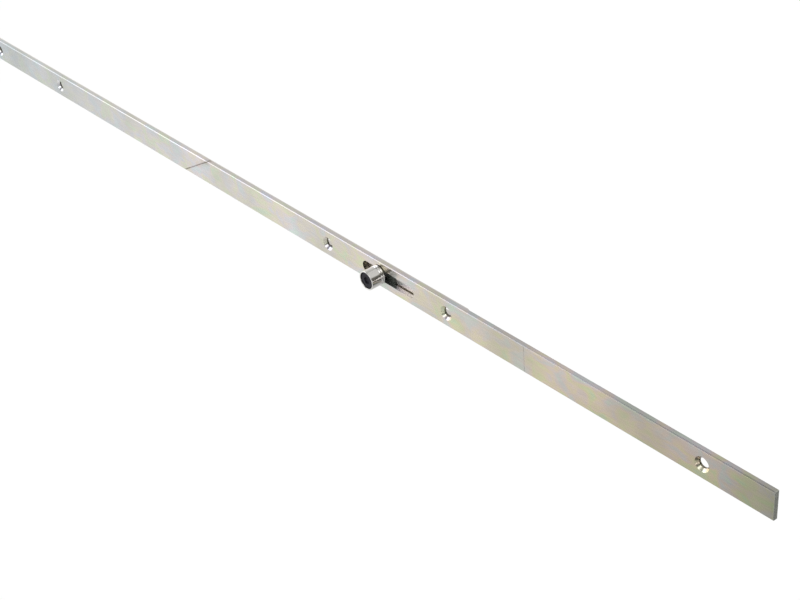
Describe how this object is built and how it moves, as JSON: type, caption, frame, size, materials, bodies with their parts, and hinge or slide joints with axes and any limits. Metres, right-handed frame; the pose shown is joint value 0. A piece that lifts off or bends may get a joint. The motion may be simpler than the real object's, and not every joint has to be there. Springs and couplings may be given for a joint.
{
  "type": "espagnolette lock",
  "caption": "Long faceplate lock: a geared follower slides a drive rod behind the faceplate, so that its rollers engage keeps in the frame.",
  "frame": {"origin": "centre of the square spindle hole, midway through the gear case's thickness", "axes": "+X along the faceplate towards the end of its long arm, -Y the way the faceplate's front looks, +Z along the spindle and across the faceplate's width"},
  "size_m": [1.07, 0.044, 0.016],
  "materials": {
    "faceplate_steel": "satin, zinc plated and passivated with faint iridescence",
    "rod_steel": "zinc plated steel",
    "rack_steel": "zinc plated steel",
    "gear_steel": "sintered steel",
    "case_steel": "die cast zinc alloy, satin",
    "zinc": "zinc plated steel",
    "stud_steel": "turned steel",
    "nickel": "bright nickel plated",
    "black_steel": "blackened steel",
    "black_plastic": "matte acetal"
  },
  "bodies": {
    "lock_body": {"faceplate_gear_side": "faceplate_steel", "faceplate_extension": "faceplate_steel", "gear_case_base": "case_steel", "gear_case_cover": "case_steel", "case_post_near": "zinc", "case_post_far": "zinc", "case_fixing_screws": "zinc", "case_rivets": "zinc", "rod_slide_strip": "black_plastic"},
    "rod_group": {"drive_rod": "rod_steel", "rack": "rack_steel", "rack_rivets": "rack_steel", "roller_stud_near": "stud_steel", "slide_pad_near": "black_plastic", "roller_stud_far": "stud_steel", "slide_pad_far": "black_plastic", "roller_cap_screw_near": "black_steel", "roller_cap_screw_far": "black_steel"},
    "follower_group": {"follower": "gear_steel"},
    "near_roller_group": {"roller_sleeve_near": "nickel", "roller_bush_near": "black_plastic"},
    "far_roller_group": {"roller_sleeve_far": "nickel", "roller_bush_far": "black_plastic"}
  },
  "joints": [
    {"name": "rod_slide", "type": "slide", "parent": "lock_body", "child": "rod_group", "axis": [1, 0, 0], "range_m": [-0.0104, 0.0246]},
    {"name": "follower_turn", "type": "hinge", "parent": "lock_body", "child": "follower_group", "pos_m": [0, 0, 0], "axis": [0, 0, 1], "range_deg": [-53.6, 126.6]},
    {"name": "near_roller_turn", "type": "hinge", "parent": "rod_group", "child": "near_roller_group", "pos_m": [0.5371, -0.025, 0], "axis": [0, 1, 0], "continuous": true},
    {"name": "far_roller_turn", "type": "hinge", "parent": "rod_group", "child": "far_roller_group", "pos_m": [-0.165, -0.025, 0], "axis": [0, 1, 0], "continuous": true}
  ],
  "couplings": [
    {"joint": "follower_turn", "follows": "rod_slide", "rad_per_m": 89.76}
  ]
}
